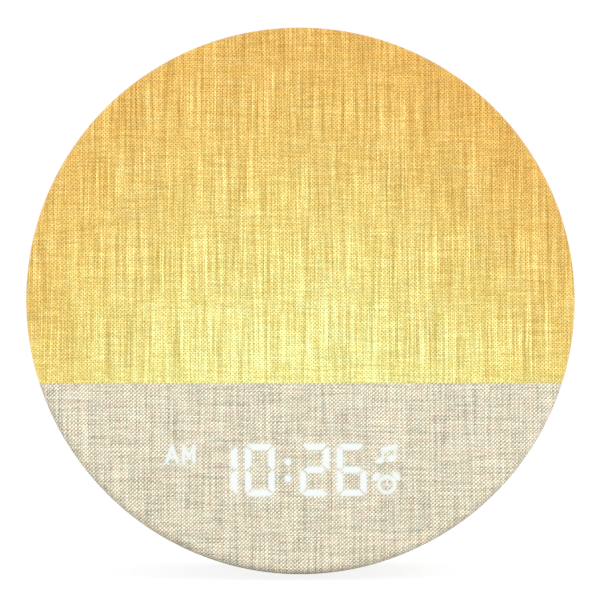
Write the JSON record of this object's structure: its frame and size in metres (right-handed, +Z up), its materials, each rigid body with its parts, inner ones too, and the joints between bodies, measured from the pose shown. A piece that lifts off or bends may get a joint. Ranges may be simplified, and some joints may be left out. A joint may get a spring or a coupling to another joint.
{
  "type": "alarm clock",
  "caption": "Round bedside sunrise alarm clock: a cloth-covered disc that leans back, with a wake-up lamp above a horizon line and a lit display below it.",
  "frame": {"origin": "middle of the foot's underside, on the table", "axes": "+Z up, -Y out of the face towards the person looking at it, +X to that person's right"},
  "size_m": [0.17, 0.0796, 0.1707],
  "materials": {
    "linen": "plain-weave natural linen, dyed in the yarn",
    "opal_plastic": "opal diffusing plastic, lit from behind",
    "white_plastic": "opaque white moulding",
    "housing_plastic": "fine spark-eroded texture",
    "key_plastic": "satin",
    "black_plastic": "satin",
    "smoked_acrylic": "polished smoked tint",
    "silicone": "matt silicone",
    "zinc_steel": "zinc plated",
    "aluminium": "mill finish",
    "circuit_board": "solder mask",
    "lamp_board": "white solder mask",
    "copper_wire": "enamelled wire",
    "gold_contact": "plated spring strip",
    "gasket_foam": "closed-cell foam",
    "ferrite": "sintered ferrite",
    "cone_paper": "pressed paper",
    "surround_rubber": "moulded roll",
    "spider_cloth": "resin-dipped cloth",
    "red_lead": "insulated lead",
    "white_lead": "insulated lead"
  },
  "bodies": {
    "clock": {"fabric_cover": "linen", "upper_diffuser": "opal_plastic", "lower_faceplate": "white_plastic", "display_window": "smoked_acrylic", "mid_frame": "black_plastic", "lamp_reflector": "white_plastic", "lamp_heat_sink": "aluminium", "lamp_board": "lamp_board", "display_reflector": "white_plastic", "display_board": "circuit_board", "housing": "housing_plastic", "foot_pad": "silicone", "rear_cover": "housing_plastic", "battery_tray": "black_plastic", "coin_cell": "zinc_steel", "battery_contact": "gold_contact", "battery_door": "housing_plastic", "battery_door_screw": "zinc_steel", "button_board": "circuit_board", "main_board": "circuit_board", "dc_jack": "black_plastic", "alarm_switch": "zinc_steel", "speaker_gasket": "gasket_foam", "speaker_basket": "zinc_steel", "speaker_top_plate": "zinc_steel", "speaker_magnet": "ferrite", "speaker_yoke": "zinc_steel", "speaker_surround": "surround_rubber", "speaker_spider": "spider_cloth", "speaker_cable": "red_lead", "lamp_cable": "white_lead", "key_cable": "white_lead", "display_ribbon": "white_lead", "frame_screw_1": "zinc_steel", "cover_screw_1": "zinc_steel", "frame_screw_2": "zinc_steel", "cover_screw_2": "zinc_steel", "frame_screw_3": "zinc_steel", "cover_screw_3": "zinc_steel", "frame_screw_4": "zinc_steel", "cover_screw_4": "zinc_steel", "volume_encoder": "zinc_steel", "brightness_encoder": "zinc_steel"},
    "light_key_body": {"light_key": "key_plastic", "light_plunger": "black_plastic"},
    "sound_key_body": {"sound_key": "key_plastic", "sound_plunger": "black_plastic"},
    "snooze_key_body": {"snooze_key": "key_plastic", "snooze_plunger": "black_plastic"},
    "alarm_key_body": {"alarm_key": "key_plastic", "alarm_plunger": "black_plastic"},
    "timer_key_body": {"timer_key": "key_plastic", "timer_plunger": "black_plastic"},
    "volume_dial": {"volume_knob": "key_plastic", "volume_shaft": "zinc_steel"},
    "brightness_dial": {"brightness_knob": "key_plastic", "brightness_shaft": "zinc_steel"},
    "alarm_slider_body": {"alarm_slider": "key_plastic"},
    "speaker_cone_body": {"speaker_cone": "cone_paper", "voice_coil": "copper_wire"}
  },
  "joints": [
    {"name": "light_key_press", "type": "slide", "parent": "clock", "child": "light_key_body", "axis": [0, -0.1219, -0.9925], "range_m": [0, 0.0005], "stiffness_N_per_m": 1500},
    {"name": "sound_key_press", "type": "slide", "parent": "clock", "child": "sound_key_body", "axis": [0, -0.1219, -0.9925], "range_m": [0, 0.0005], "stiffness_N_per_m": 1500},
    {"name": "snooze_key_press", "type": "slide", "parent": "clock", "child": "snooze_key_body", "axis": [0, -0.1219, -0.9925], "range_m": [0, 0.0005], "stiffness_N_per_m": 1500},
    {"name": "alarm_key_press", "type": "slide", "parent": "clock", "child": "alarm_key_body", "axis": [0, -0.1219, -0.9925], "range_m": [0, 0.0005], "stiffness_N_per_m": 1500},
    {"name": "timer_key_press", "type": "slide", "parent": "clock", "child": "timer_key_body", "axis": [0, -0.1219, -0.9925], "range_m": [0, 0.0005], "stiffness_N_per_m": 1500},
    {"name": "volume_turn", "type": "hinge", "parent": "clock", "child": "volume_dial", "pos_m": [-0.044, 0.0274, 0.07547], "axis": [0, 0.9925, -0.1219], "continuous": true},
    {"name": "brightness_turn", "type": "hinge", "parent": "clock", "child": "brightness_dial", "pos_m": [0.044, 0.0274, 0.07547], "axis": [0, 0.9925, -0.1219], "continuous": true},
    {"name": "alarm_slide", "type": "slide", "parent": "clock", "child": "alarm_slider_body", "axis": [1, 0, 0], "range_m": [0, 0.003]},
    {"name": "speaker_cone_travel", "type": "slide", "parent": "clock", "child": "speaker_cone_body", "axis": [0, 0.9925, -0.1219], "range_m": [-0.0008, 0.0008], "stiffness_N_per_m": 1200, "deforming": ["speaker_surround", "speaker_spider"]}
  ]
}
